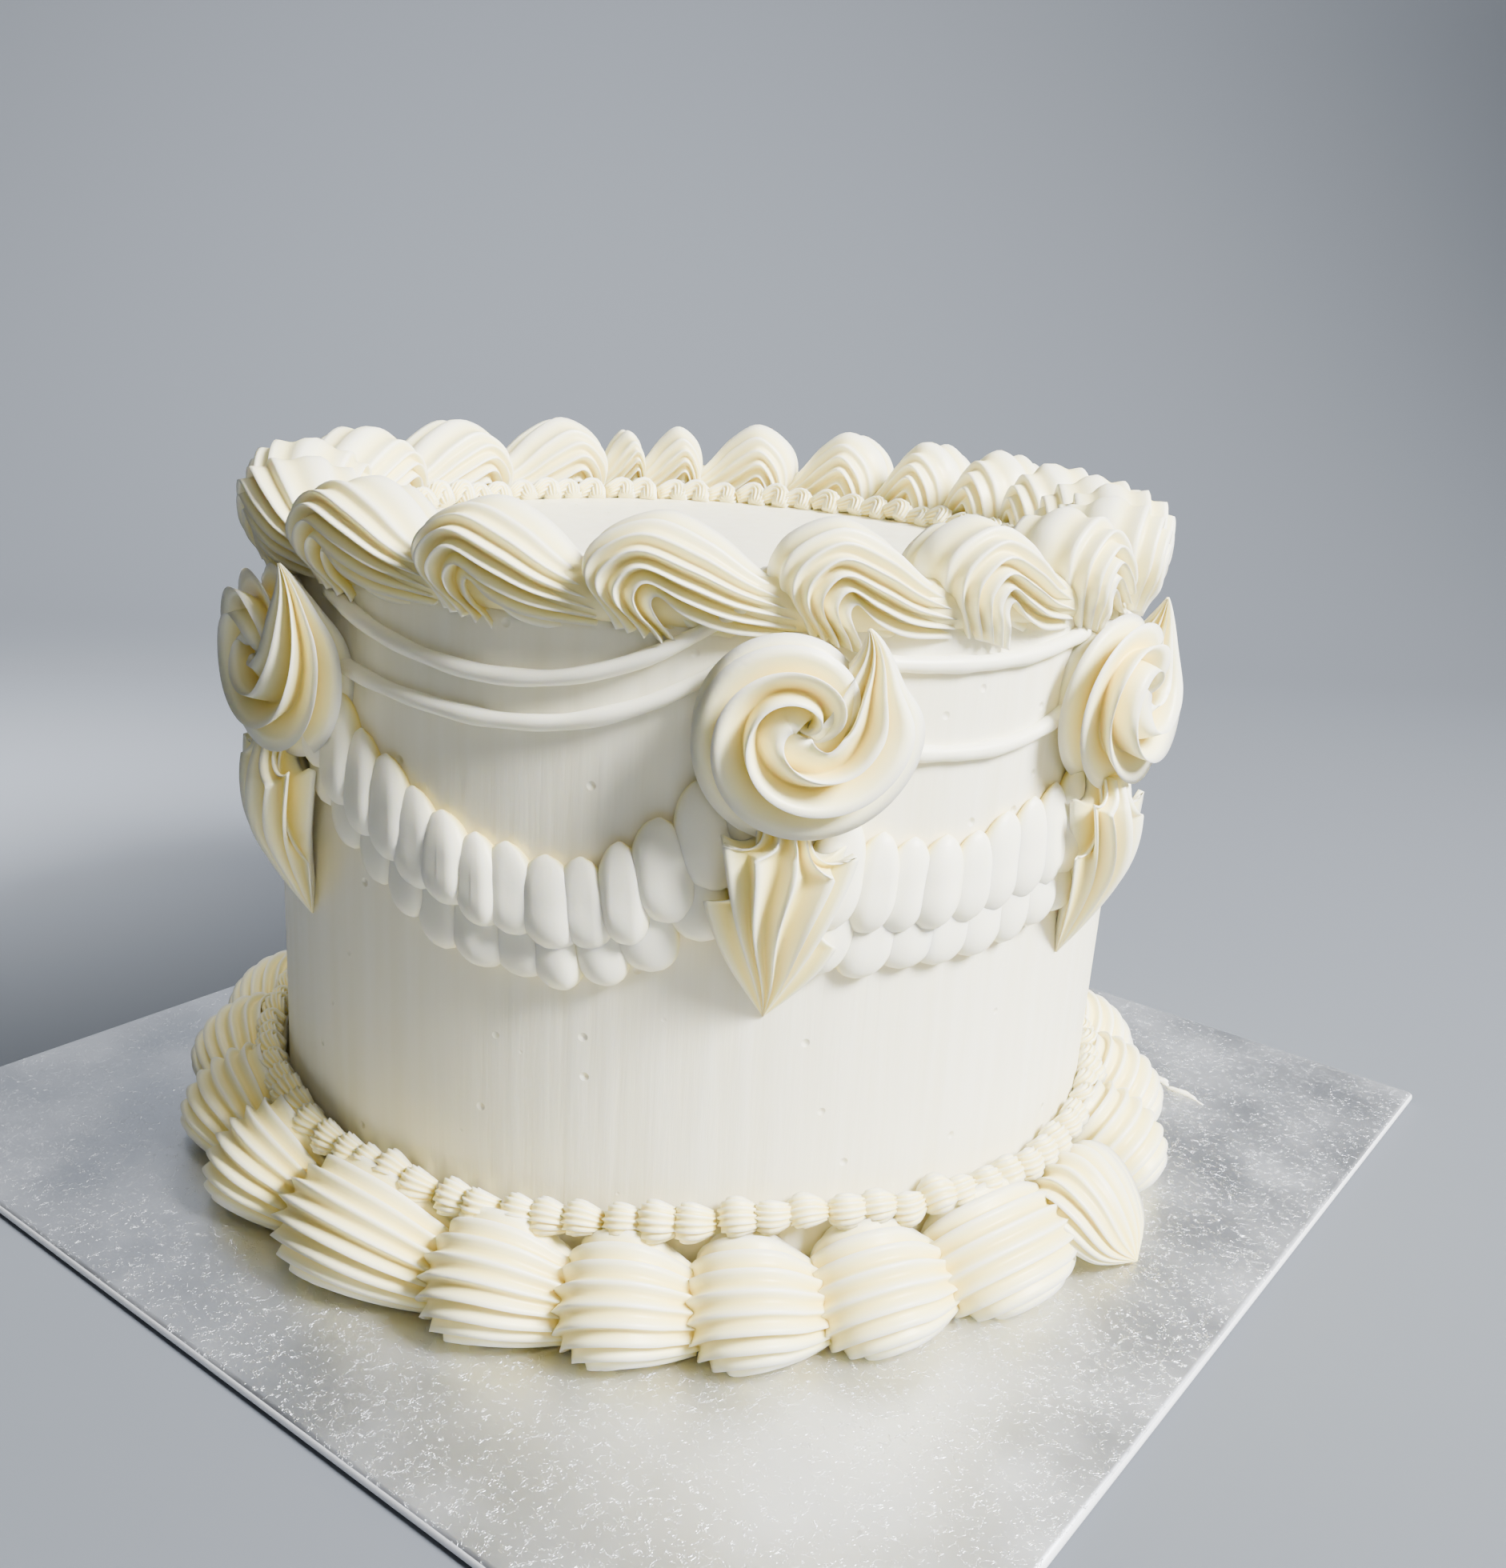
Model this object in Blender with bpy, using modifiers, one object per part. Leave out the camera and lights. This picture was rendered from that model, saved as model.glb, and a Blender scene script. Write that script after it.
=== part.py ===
"""A tall one-tier celebration cake on its square board.

The cake is iced smooth in ivory buttercream and piped in the old shell-and-swag style: a border of
large ridged shells round the foot and another over the top edge, small bead borders beside both,
and on the side six bays, each with two fine string lines and a double ruffled swag, hung between
rosettes with a pointed drop under each. Metres, +Z up. The origin is the middle of the board's
underside, and the board's edges lie along X and Y.
"""

import math
import random

import bmesh
import bpy
from mathutils import Vector

MM = 0.001

# Driving dimensions: a 12 inch board, and an 8 inch cake under its icing, 6 inches tall
BOARD_SIDE = 305 * MM
BOARD_THICKNESS = 3 * MM
BOARD_EDGE_BEVEL = 0.4 * MM
CAKE_RADIUS = 108 * MM
CAKE_HEIGHT = 154 * MM
CAKE_X = -12 * MM  # the cake stands a little off the board's middle
CAKE_Y = 8 * MM
FRONT_TURN = 38.7  # degrees from -Y to the cake's front, which faces a corner of the board

# Clearances between touching pieces
REST_GAP = 0.3 * MM
WALL_GAP = 0.5 * MM  # wider, because the pieces' facets are chords of the round wall
SIDE_GAP = 0.2 * MM  # on each side of the joint between neighbouring shells

# Turned body of the cake, with two bead borders in its outline
BEAD_COUNT = 66
CAKE_SEGMENTS = 2 * BEAD_COUNT  # a column for each bead and one for each neck
FOOT_BEAD_HEIGHT = 23.5 * MM
FOOT_BEAD_DEPTH = 7.8 * MM
FOOT_BEAD_HALF_HEIGHT = 4.1 * MM
TOP_BEAD_RING = 82 * MM
TOP_BEAD_DEPTH = 4.6 * MM
TOP_BEAD_HALF_WIDTH = 3.8 * MM
FOOT_BEAD_CROWN = 0.62  # half width at the crown, as a share of the half width at the wall
BEAD_NECK = 0.5  # a neck's depth as a share of a bead's

# The rosettes, in degrees from the cake's front. The bay right of the front is the last one, and short
ROSETTE_ANGLES = (10, 54.5, 117.6, 180.7, 243.8, 307)

# Fine string lines, fused to the cake
STRING_RADIUS = 1.8 * MM
STRING_SINK = 0.6 * MM
STRING_END = 12.0  # degrees from a rosette's middle
STRING_LOW_POINTS = (141.8 * MM, 129 * MM)
STRING_RISES = (5.5 * MM, 6.5 * MM)
STRING_POINTS = 7

# Shell borders
# Degrees from the front where each shell's head starts; the row closes with the short sixteenth one
RIM_STARTS = (-52.9, -32.2, -13.3, 6.7, 24.7, 42.8, 60, 76, 91, 104, 118, 133, 148, 165, 182, 193,
              200, 220, 242, 264, 286)
RIM_CENTRE_RADIUS = 101 * MM
RIM_CENTRE_HEIGHT = 160.2 * MM
RIM_SHELL_RADIUS = 15.6 * MM
RIM_ARC = (-62, 190)  # degrees round the section, from under the lip to the inner foot
RIM_ANCHOR = (104 * MM, 155 * MM)  # the section shrinks towards this point, as radius and height
RIM_LIP_HEIGHT = 150 * MM
FOOT_STARTS = (-47.7, -26.5, -12.2, 0.8, 13.9, 28.1, 46.8, 61.5, 76.2, 90.9, 105.6, 120.3, 135,
               149.7, 164.4, 179.1, 193.9, 208.7, 223.5, 238.3, 253.1, 267.9, 282.7, 297.5)
FOOT_CENTRE_RADIUS = 118.5 * MM
FOOT_CENTRE_HEIGHT = 8.5 * MM
FOOT_SHELL_RADIUS = 14.6 * MM
FOOT_ARC = (-33, 138)
FOOT_ANCHOR = (114 * MM, 0.3 * MM)
SHELL_RIDGES = 5
SHELL_GROOVE = 0.87  # a groove's radius as a share of its ridge's
SHELL_STATIONS = ((0.0, 0.68), (0.3, 1.0), (0.68, 0.87), (1.0, 0.54))  # place from head to tail, size
SHELL_UNEVENNESS = 0.03

# Rosettes and the drops below them
ROSETTE_RADIUS = 21 * MM
ROSETTE_HALF_ANGLE = 12.5  # degrees of the cake's wall that half a rosette covers
ROSETTE_HEIGHT = 134.5 * MM
ROSETTE_DEPTH = 16 * MM
ROSETTE_RINGS = 5
ROSETTE_SECTORS = 18
ROSETTE_RIDGE = 1.3 * MM
ROSETTE_PULL = (0.35, 0.55)  # the ridges crowd together this way, right and up
ROSETTE_EDGE_DEPTH = 3.2 * MM
ROSETTE_WAVES = 5
ROSETTE_WAVE_DEPTH = 0.05
DROP_TURN = -1.5  # degrees from its rosette's middle
DROP_TOP = 111.5 * MM
DROP_TIP = 71.5 * MM
DROP_HALF_WIDTH = 15 * MM
DROP_DEPTH = 12.5 * MM
DROP_PROFILE = ((0.0, 0.62), (0.18, 0.92), (0.4, 1.0), (0.62, 0.72), (0.82, 0.38), (1.0, 0.05))
DROP_FACETS = 8  # facets across the ridged front
DROP_BACK_POINTS = 2

# Double ruffled swag, one ring that dips in each bay
SWAG_FINGER_STEP = 5.6  # degrees
SWAG_LOW = 95.5 * MM  # middle of the upper ruffle where it hangs lowest
SWAG_SHORT_LOW = 99.5 * MM  # the same in a bay of less than SWAG_SHORT_BAY degrees
SWAG_SHORT_BAY = 55
SWAG_END = 114 * MM
SWAG_FLAT_END = 0.74  # beyond this share of the half bay the swag runs level, behind the drop
SWAG_HALF_HEIGHT = 9.2 * MM
SWAG_THICKNESS = 7.2 * MM
SWAG_LOWER_REACH = 20.5 * MM
SWAG_THIN_BEHIND_DROP = 0.45
CUT_GROW = 0.35 * MM
SWAG_CUT_DEPTH = 3 * MM  # how far the swag's cutter goes into the wall

# Material colours
IVORY = (0.86, 0.83, 0.74, 1)
WARM_IVORY = (0.90, 0.85, 0.70, 1)
SILVER = (0.72, 0.73, 0.75, 1)


def clear_scene():
    for obj in list(bpy.data.objects):
        bpy.data.objects.remove(obj, do_unlink=True)


def make_material(name, colour, roughness, metallic=0.0):
    material = bpy.data.materials.new(name)
    material.use_nodes = True
    shader = material.node_tree.nodes["Principled BSDF"]
    shader.inputs["Base Color"].default_value = colour
    shader.inputs["Roughness"].default_value = roughness
    shader.inputs["Metallic"].default_value = metallic
    return material


def new_collection(name):
    collection = bpy.data.collections.new(name)
    bpy.context.scene.collection.children.link(collection)
    return collection


def bays():
    """The left and right rosette's angle of each bay."""
    return list(zip(ROSETTE_ANGLES, ROSETTE_ANGLES[1:] + (ROSETTE_ANGLES[0] + 360,)))


def on_cake(degrees, radius, height):
    """A point in the cake's own frame. Angles run from the front, and grow to the right."""
    turn = math.radians(degrees)
    return Vector((radius * math.sin(turn), -radius * math.cos(turn), height))


def off_wall(across, height, out, centre):
    """A point by its distance across and out from the cake's wall, beside the angle centre."""
    return on_cake(centre + math.degrees(across / CAKE_RADIUS), CAKE_RADIUS + out, height)


def loft(name, rings, collection, closed=False, material=None):
    """Joins rings of points, all of one count, into a closed body. A ring of one point is a pole."""
    bm = bmesh.new()
    loops = [[bm.verts.new(point) for point in ring] for ring in rings]
    pairs = list(zip(loops, loops[1:]))
    if closed:
        pairs.append((loops[-1], loops[0]))
    count = max(len(loop) for loop in loops)
    for first, second in pairs:
        for i in range(count):
            j = (i + 1) % count
            if len(first) == 1:
                bm.faces.new((first[0], second[j], second[i]))
            elif len(second) == 1:
                bm.faces.new((first[i], first[j], second[0]))
            else:
                bm.faces.new((first[i], first[j], second[j], second[i]))
    if not closed:
        for loop in (loops[0], loops[-1]):
            if len(loop) > 1:
                bm.faces.new(loop)
    # Fixed diagonals, so that a cutter's skewed quads fold the same way as those of its piece
    quads = [face for face in bm.faces if len(face.verts) == 4]
    bmesh.ops.triangulate(bm, faces=quads, quad_method="FIXED")
    bmesh.ops.recalc_face_normals(bm, faces=bm.faces)
    mesh = bpy.data.meshes.new(name)
    bm.to_mesh(mesh)
    bm.free()
    obj = bpy.data.objects.new(name, mesh)
    if material:
        mesh.materials.append(material)
    collection.objects.link(obj)
    return obj


def apply_modifiers(obj):
    """Replaces the object's mesh with its evaluated one."""
    graph = bpy.context.evaluated_depsgraph_get()
    graph.update()
    mesh = bpy.data.meshes.new_from_object(obj.evaluated_get(graph))
    obj.modifiers.clear()
    obj.data = mesh


def join_with(obj, cutters, operation):
    """One Boolean on a whole collection, applied, after which the collection's objects are removed."""
    boolean = obj.modifiers.new("join", "BOOLEAN")
    boolean.operation = operation
    boolean.operand_type = "COLLECTION"
    boolean.collection = cutters
    boolean.solver = "EXACT"
    apply_modifiers(obj)
    for cutter in list(cutters.objects):
        bpy.data.objects.remove(cutter, do_unlink=True)


def make_board(collection, material):
    bpy.ops.mesh.primitive_cube_add(size=1, location=(0, 0, BOARD_THICKNESS / 2))
    board = bpy.context.object
    board.name = "board"
    board.data.transform(board.matrix_world.Diagonal((BOARD_SIDE, BOARD_SIDE, BOARD_THICKNESS, 1)))
    board.data.materials.append(material)
    bevel = board.modifiers.new("turned_edge", "BEVEL")
    bevel.width = BOARD_EDGE_BEVEL
    bevel.segments = 1
    for holder in list(board.users_collection):
        holder.objects.unlink(board)
    collection.objects.link(board)
    return board


def make_body(collection, material):
    """The iced cake with its bead borders, turned from half its outline."""
    crown = FOOT_BEAD_HALF_HEIGHT * FOOT_BEAD_CROWN
    outline = [
        (0, REST_GAP),
        (CAKE_RADIUS, REST_GAP),
        (CAKE_RADIUS, FOOT_BEAD_HEIGHT - FOOT_BEAD_HALF_HEIGHT),
        (CAKE_RADIUS + FOOT_BEAD_DEPTH, FOOT_BEAD_HEIGHT - crown),
        (CAKE_RADIUS + FOOT_BEAD_DEPTH, FOOT_BEAD_HEIGHT + crown),
        (CAKE_RADIUS, FOOT_BEAD_HEIGHT + FOOT_BEAD_HALF_HEIGHT),
        (CAKE_RADIUS, CAKE_HEIGHT),
        (TOP_BEAD_RING + TOP_BEAD_HALF_WIDTH, CAKE_HEIGHT),
        (TOP_BEAD_RING, CAKE_HEIGHT + TOP_BEAD_DEPTH),
        (TOP_BEAD_RING - TOP_BEAD_HALF_WIDTH, CAKE_HEIGHT),
        (0, CAKE_HEIGHT),
    ]
    mesh = bpy.data.meshes.new("cake")
    points = [(radius, 0, height) for radius, height in reversed(outline)]
    mesh.from_pydata(points, [(i, i + 1) for i in range(len(points) - 1)], [])
    cake = bpy.data.objects.new("cake", mesh)
    mesh.materials.append(material)
    collection.objects.link(cake)
    screw = cake.modifiers.new("turn", "SCREW")
    screw.steps = CAKE_SEGMENTS
    screw.render_steps = CAKE_SEGMENTS
    screw.use_merge_vertices = True
    screw.merge_threshold = 0.00001
    apply_modifiers(cake)
    pinch_necks(cake)
    return cake


def pinch_necks(cake):
    """Every second column of the bead borders is pushed in, which leaves a row of beads."""
    for vertex in cake.data.vertices:
        x, y, height = vertex.co
        radius = math.hypot(x, y)
        column = round(math.atan2(y, x) / (2 * math.pi) * CAKE_SEGMENTS)
        if column % 2 == 0:
            continue
        if radius > CAKE_RADIUS + MM:
            pushed = CAKE_RADIUS + FOOT_BEAD_DEPTH * BEAD_NECK
            vertex.co.x *= pushed / radius
            vertex.co.y *= pushed / radius
        if height > CAKE_HEIGHT + MM:
            vertex.co.z = CAKE_HEIGHT + TOP_BEAD_DEPTH * BEAD_NECK


def string_line(name, bay_middle, half_span, low_height, rise, collection):
    """One fine line of icing that hangs between two rosettes, as a closed mesh tube."""
    curve = bpy.data.curves.new(name, "CURVE")
    curve.dimensions = "3D"
    curve.bevel_depth = STRING_RADIUS
    curve.bevel_resolution = 0
    curve.use_fill_caps = True
    spline = curve.splines.new("POLY")
    spline.points.add(STRING_POINTS - 1)
    for i, point in enumerate(spline.points):
        share = 2 * i / (STRING_POINTS - 1) - 1
        place = on_cake(
            bay_middle + share * half_span,
            CAKE_RADIUS + STRING_RADIUS - STRING_SINK,
            low_height + rise * share * share,
        )
        point.co = (*place, 1)
    tube = bpy.data.objects.new(name, curve)
    collection.objects.link(tube)
    graph = bpy.context.evaluated_depsgraph_get()
    graph.update()
    mesh = bpy.data.meshes.new_from_object(tube.evaluated_get(graph))
    bpy.data.objects.remove(tube, do_unlink=True)
    bm = bmesh.new()
    bm.from_mesh(mesh)
    bmesh.ops.remove_doubles(bm, verts=bm.verts, dist=0.00001)
    bmesh.ops.recalc_face_normals(bm, faces=bm.faces)
    bm.to_mesh(mesh)
    bm.free()
    solid = bpy.data.objects.new(name, mesh)
    collection.objects.link(solid)
    return solid


def make_cake(collection, material):
    cake = make_body(collection, material)
    fused = new_collection("fused_to_cake")
    for bay, (left, right) in enumerate(bays()):
        for row, (low, rise) in enumerate(zip(STRING_LOW_POINTS, STRING_RISES)):
            string_line(f"string_{bay}_{row}", (left + right) / 2, (right - left) / 2 - STRING_END,
                        low, rise, fused)
    join_with(cake, fused, "UNION")
    return cake


def ridged_arc(centre, radius, arc):
    """Points round a section from ridge to groove, as (radius from the cake's axis, height)."""
    count = 2 * SHELL_RIDGES + 1
    points = []
    for i in range(count):
        turn = math.radians(arc[0] + (arc[1] - arc[0]) * i / (count - 1))
        reach = radius * (1.0 if i % 2 else SHELL_GROOVE)
        points.append((centre[0] + reach * math.cos(turn), centre[1] + reach * math.sin(turn)))
    return points


def foot_section(size):
    """A foot shell's section: a ridged arc that stands on the board, against the cake, under the beads."""
    inner = CAKE_RADIUS + WALL_GAP
    under_beads = FOOT_BEAD_HEIGHT - FOOT_BEAD_HALF_HEIGHT - WALL_GAP
    beside_beads = CAKE_RADIUS + FOOT_BEAD_DEPTH + 2 * WALL_GAP
    centre = [FOOT_ANCHOR[k] + (c - FOOT_ANCHOR[k]) * size for k, c in
              enumerate((FOOT_CENTRE_RADIUS, FOOT_CENTRE_HEIGHT))]
    arc = ridged_arc(centre, FOOT_SHELL_RADIUS * size, FOOT_ARC)
    arc = [(max(r, inner), max(z, REST_GAP)) for r, z in arc]
    arc = [(r, min(z, under_beads)) if r < beside_beads else (r, z) for r, z in arc]
    arc[0] = (arc[0][0], REST_GAP)
    return arc + [(inner, REST_GAP)]


def rim_section(size):
    """A rim shell's section: a ridged arc that sits over the cake's top edge."""
    wall = CAKE_RADIUS + WALL_GAP
    top = CAKE_HEIGHT + WALL_GAP
    centre = [RIM_ANCHOR[k] + (c - RIM_ANCHOR[k]) * size for k, c in
              enumerate((RIM_CENTRE_RADIUS, RIM_CENTRE_HEIGHT))]
    arc = ridged_arc(centre, RIM_SHELL_RADIUS * size, RIM_ARC)
    half = len(arc) // 2
    outer = [(max(r, wall) if z < top else r, max(z, RIM_LIP_HEIGHT)) for r, z in arc[:half]]
    inner = [(r, max(z, top)) for r, z in arc[half:]]
    outer[0] = (wall, outer[0][1])
    inner[-1] = (inner[-1][0], top)
    return outer + inner + [(wall, top)]


def make_shell(name, section, start, span, radius, unevenness, collection, material):
    """A shell from its fat head to its tail, between two planes through the cake's axis."""
    side = math.degrees(SIDE_GAP / radius)
    rings = []
    for place, size in SHELL_STATIONS:
        degrees = start + side + (span - 2 * side) * place
        rings.append([on_cake(degrees, r, z) for r, z in section(size * unevenness)])
    return loft(name, rings, collection, material=material)


def make_shell_row(label, section, starts, radius, collection, material, seed):
    """A closed row of shells; each one's tail ends where the next one's head starts."""
    rng = random.Random(seed)
    ends = starts[1:] + (starts[0] + 360,)
    shells = []
    for i, (start, end) in enumerate(zip(starts, ends)):
        unevenness = 1 - SHELL_UNEVENNESS * rng.random()
        shells.append(make_shell(f"{label}_{i + 1:02d}", section, start, end - start, radius,
                                 unevenness, collection, material))
    return shells


def rosette_ring(centre, radius, out, waves):
    """One ring of a rosette's points, nested off centre so that the ridges crowd at its pulled tip."""
    shift = (ROSETTE_RADIUS - radius) * 0.5
    points = []
    for sector in range(ROSETTE_SECTORS):
        turn = 2 * math.pi * sector / ROSETTE_SECTORS
        reach = radius * (1 + waves * math.cos(ROSETTE_WAVES * turn))
        across = shift * ROSETTE_PULL[0] + reach * math.cos(turn)
        up = shift * ROSETTE_PULL[1] + reach * math.sin(turn)
        points.append(off_wall(across, ROSETTE_HEIGHT + up, out, centre))
    return points


def make_rosette(name, centre, collection, material):
    """A round of ridged icing, high in the middle, with its back on the cake's wall."""
    tip = (ROSETTE_RADIUS * 0.5 * ROSETTE_PULL[0], ROSETTE_RADIUS * 0.5 * ROSETTE_PULL[1])
    rings = [[off_wall(tip[0], ROSETTE_HEIGHT + tip[1], ROSETTE_DEPTH - 2 * ROSETTE_RIDGE, centre)]]
    for k in range(1, ROSETTE_RINGS + 1):
        share = k / ROSETTE_RINGS
        dome = ROSETTE_EDGE_DEPTH + (ROSETTE_DEPTH - ROSETTE_EDGE_DEPTH) * math.sqrt(1 - 0.97 * share**2.4)
        ridge = ROSETTE_RIDGE if k % 2 else -ROSETTE_RIDGE
        last = k == ROSETTE_RINGS
        out = ROSETTE_EDGE_DEPTH if last else dome + ridge - ROSETTE_RIDGE
        waves = ROSETTE_WAVE_DEPTH * share**3
        rings.append(rosette_ring(centre, ROSETTE_RADIUS * share, out, waves))
    rings.append(rosette_ring(centre, ROSETTE_RADIUS * 0.94, WALL_GAP, ROSETTE_WAVE_DEPTH))
    rings.append([off_wall(0, ROSETTE_HEIGHT, WALL_GAP, centre)])
    return loft(name, rings, collection, material=material)


def make_drop(name, centre, collection, material):
    """A ridged drop, full at the top and drawn to a point, with its back on the cake's wall."""
    rings = []
    for share, size in DROP_PROFILE:
        height = DROP_TOP + (DROP_TIP - DROP_TOP) * share
        ring = []
        for i in range(DROP_FACETS + 1):
            turn = math.pi * (i / DROP_FACETS - 0.5)
            reach = 1.0 if i % 2 else 0.82
            across = DROP_HALF_WIDTH * size * reach * math.sin(turn)
            out = WALL_GAP + DROP_DEPTH * size * reach * max(math.cos(turn), 0)
            ring.append(off_wall(across, height, out, centre))
        edge = DROP_HALF_WIDTH * size * 0.82
        for i in range(1, DROP_BACK_POINTS + 1):
            ring.append(off_wall(edge * (1 - 2 * i / (DROP_BACK_POINTS + 1)), height, WALL_GAP, centre))
        rings.append(ring)
    return loft(name, rings, collection, material=material)


def swag_columns():
    """The angle, place in the bay from -1 to 1, and low height of each column of the swag."""
    columns = []
    for left, right in bays():
        count = 2 * round((right - left) / SWAG_FINGER_STEP)
        low = SWAG_SHORT_LOW if right - left < SWAG_SHORT_BAY else SWAG_LOW
        for i in range(count):
            columns.append((left + (right - left) * i / count, 2 * i / count - 1, low))
    return columns


def swag_ring(name, collection, material, grow=0.0):
    """Two rows of ruffled fingers that follow the swags, as one ring round the cake."""
    rings = []
    for column, (degrees, share, low) in enumerate(swag_columns()):
        middle = low + (SWAG_END - low) * min(abs(share) / SWAG_FLAT_END, 1) ** 2
        behind = max(0.0, (abs(share) - SWAG_FLAT_END) / (1 - SWAG_FLAT_END))
        thick = SWAG_THICKNESS * (1 - (1 - SWAG_THIN_BEHIND_DROP) * behind)
        finger = 1.0 if column % 2 else 0.62
        between = 0.62 if column % 2 else 1.0
        half = SWAG_HALF_HEIGHT
        back = WALL_GAP if grow == 0 else -SWAG_CUT_DEPTH
        foot = SWAG_LOWER_REACH * (0.86 + 0.14 * between)
        section = [
            (back, half * (0.9 + 0.1 * finger) + grow),
            (thick * 0.5 * finger + grow, half * (0.9 + 0.1 * finger) + grow),
            (thick * finger + grow, half * 0.2),
            (thick * 0.85 * finger + grow, -half * 0.75 - grow),
            (thick * 0.42 + grow, -half * 1.12 - grow),
            (thick * 0.62 * between + grow, -half * 1.6 - grow),
            (thick * 0.35 * between + grow, -foot - grow),
            (back, -foot - grow),
        ]
        rings.append([on_cake(degrees, CAKE_RADIUS + out, middle + up) for out, up in section])
    return loft(name, rings, collection, closed=True, material=material)


def main():
    clear_scene()
    cake_parts = new_collection("tiered_wedding_cake")
    foil = make_material("board_foil", SILVER, 0.3, 1.0)
    smooth_icing = make_material("icing_smooth", IVORY, 0.5)
    piped_icing = make_material("icing_piped", WARM_IVORY, 0.45)

    make_board(cake_parts, foil)
    on_board = [make_cake(cake_parts, smooth_icing)]
    rim = make_shell_row("rim_shell", rim_section, RIM_STARTS, RIM_CENTRE_RADIUS,
                         cake_parts, piped_icing, seed=3)
    foot = make_shell_row("foot_shell", foot_section, FOOT_STARTS, FOOT_CENTRE_RADIUS,
                          cake_parts, piped_icing, seed=5)
    on_board += rim + foot
    on_board.append(swag_ring("swag_garland", cake_parts, piped_icing))

    for i, centre in enumerate(ROSETTE_ANGLES, 1):
        rosette = make_rosette(f"rosette_{i}", centre, cake_parts, piped_icing)
        drop = make_drop(f"drop_{i}", centre + DROP_TURN, cake_parts, piped_icing)
        cutters = new_collection(f"cutters_{i}")
        swag_ring("swag_cutter", cutters, None, grow=CUT_GROW)
        join_with(drop, cutters, "DIFFERENCE")
        swag_ring("swag_cutter", cutters, None, grow=CUT_GROW)
        for start, end in zip(RIM_STARTS, RIM_STARTS[1:] + (RIM_STARTS[0] + 360,)):
            away = abs(((start + end) / 2 - centre + 180) % 360 - 180)
            if away < (end - start) / 2 + ROSETTE_HALF_ANGLE:
                make_shell("shell_cutter", rim_section, start, end - start, RIM_CENTRE_RADIUS,
                           1 + 1.5 * CUT_GROW / RIM_SHELL_RADIUS, cutters, None)
        join_with(rosette, cutters, "DIFFERENCE")
        on_board += [rosette, drop]

    axis = bpy.data.objects.new("cake_axis", None)
    axis.location = (CAKE_X, CAKE_Y, BOARD_THICKNESS)
    axis.rotation_euler = (0, 0, math.radians(FRONT_TURN))
    cake_parts.objects.link(axis)
    for obj in on_board:
        obj.parent = axis
        obj.data.shade_smooth()
        obj.data.set_sharp_from_angle(angle=math.radians(40))


main()
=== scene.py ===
# %% [markdown]
# # A piped buttercream cake
#
# This script dresses the plain solids of a tall one-tier cake on its square board. The real cake is
# iced smooth in ivory buttercream and piped in the old shell-and-swag style. Piped icing is what a
# star-shaped nozzle leaves behind: a rope with ridges. So almost every piece here is one idea, a
# star-shaped section that is carried along a path while it grows and shrinks. That keeps the ridges
# continuous, as they are when icing leaves the bag, and lets one function make all the sizes.

import math
import random

import bpy
import numpy as np
from mathutils import Matrix, Vector


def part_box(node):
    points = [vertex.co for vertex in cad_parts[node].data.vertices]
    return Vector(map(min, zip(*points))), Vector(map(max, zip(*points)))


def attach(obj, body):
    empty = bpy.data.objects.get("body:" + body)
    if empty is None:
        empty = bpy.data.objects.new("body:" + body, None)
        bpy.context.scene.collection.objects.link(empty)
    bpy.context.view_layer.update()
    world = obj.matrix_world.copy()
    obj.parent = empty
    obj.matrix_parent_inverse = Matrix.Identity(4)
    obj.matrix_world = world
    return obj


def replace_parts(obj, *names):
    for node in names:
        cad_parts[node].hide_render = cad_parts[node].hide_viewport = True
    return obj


MM = 0.001
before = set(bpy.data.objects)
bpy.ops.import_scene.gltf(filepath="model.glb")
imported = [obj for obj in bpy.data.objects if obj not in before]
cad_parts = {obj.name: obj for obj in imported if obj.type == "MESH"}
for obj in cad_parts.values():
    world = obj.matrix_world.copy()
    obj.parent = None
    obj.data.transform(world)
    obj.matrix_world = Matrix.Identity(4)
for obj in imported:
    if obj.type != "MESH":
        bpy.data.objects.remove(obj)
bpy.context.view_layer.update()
print("nodes in the frame:", len(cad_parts))

# %% [markdown]
# ## Places on a round cake
#
# A decorator thinks in turns of the turntable, heights up the side and distances from the middle,
# so the script does too. Angle 0 is the front of the cake, and angles grow to the viewer's right.

# %% Sizes of the cake, and a function that places points on it
CAKE_RADIUS = 108 * MM
CAKE_HEIGHT = 154 * MM
CAKE_X = -12 * MM
CAKE_Y = 8 * MM
FRONT_TURN = 38.7
BOARD_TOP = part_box("board")[1][2]


def spot(angle, radius, height):
    """Points by angle from the front in degrees, distance from the axis, height over the board."""
    turn = np.radians(angle + FRONT_TURN)
    x = CAKE_X + radius * np.sin(turn)
    y = CAKE_Y - radius * np.cos(turn)
    return np.stack(np.broadcast_arrays(x, y, BOARD_TOP + height), axis=-1)


def circle(columns):
    """The angles of evenly spaced points round a section, as one row of numbers."""
    return np.linspace(0, 2 * math.pi, columns, endpoint=False)[None, :]


print("the front of the side, half way up:", spot(0, CAKE_RADIUS, CAKE_HEIGHT / 2).round(3))

# %% [markdown]
# ## The camera
#
# The photo looks down on the cake from a little above its rim, close by, with a slight tilt. The
# camera stands in front of the cake and is turned by three angles. They were fitted to the board's
# edges and to the rings of the cake.

# %% The camera
CAMERA_DISTANCE = 396.6 * MM
CAMERA_HEIGHT = 211.5 * MM
CAMERA_YAW = math.radians(2.17)
CAMERA_PITCH = math.radians(17.15)
CAMERA_ROLL = math.radians(-3.55)
PHOTO_HEIGHT = 1960
FOCAL_PIXELS = 1914
SENSOR = 36


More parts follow.
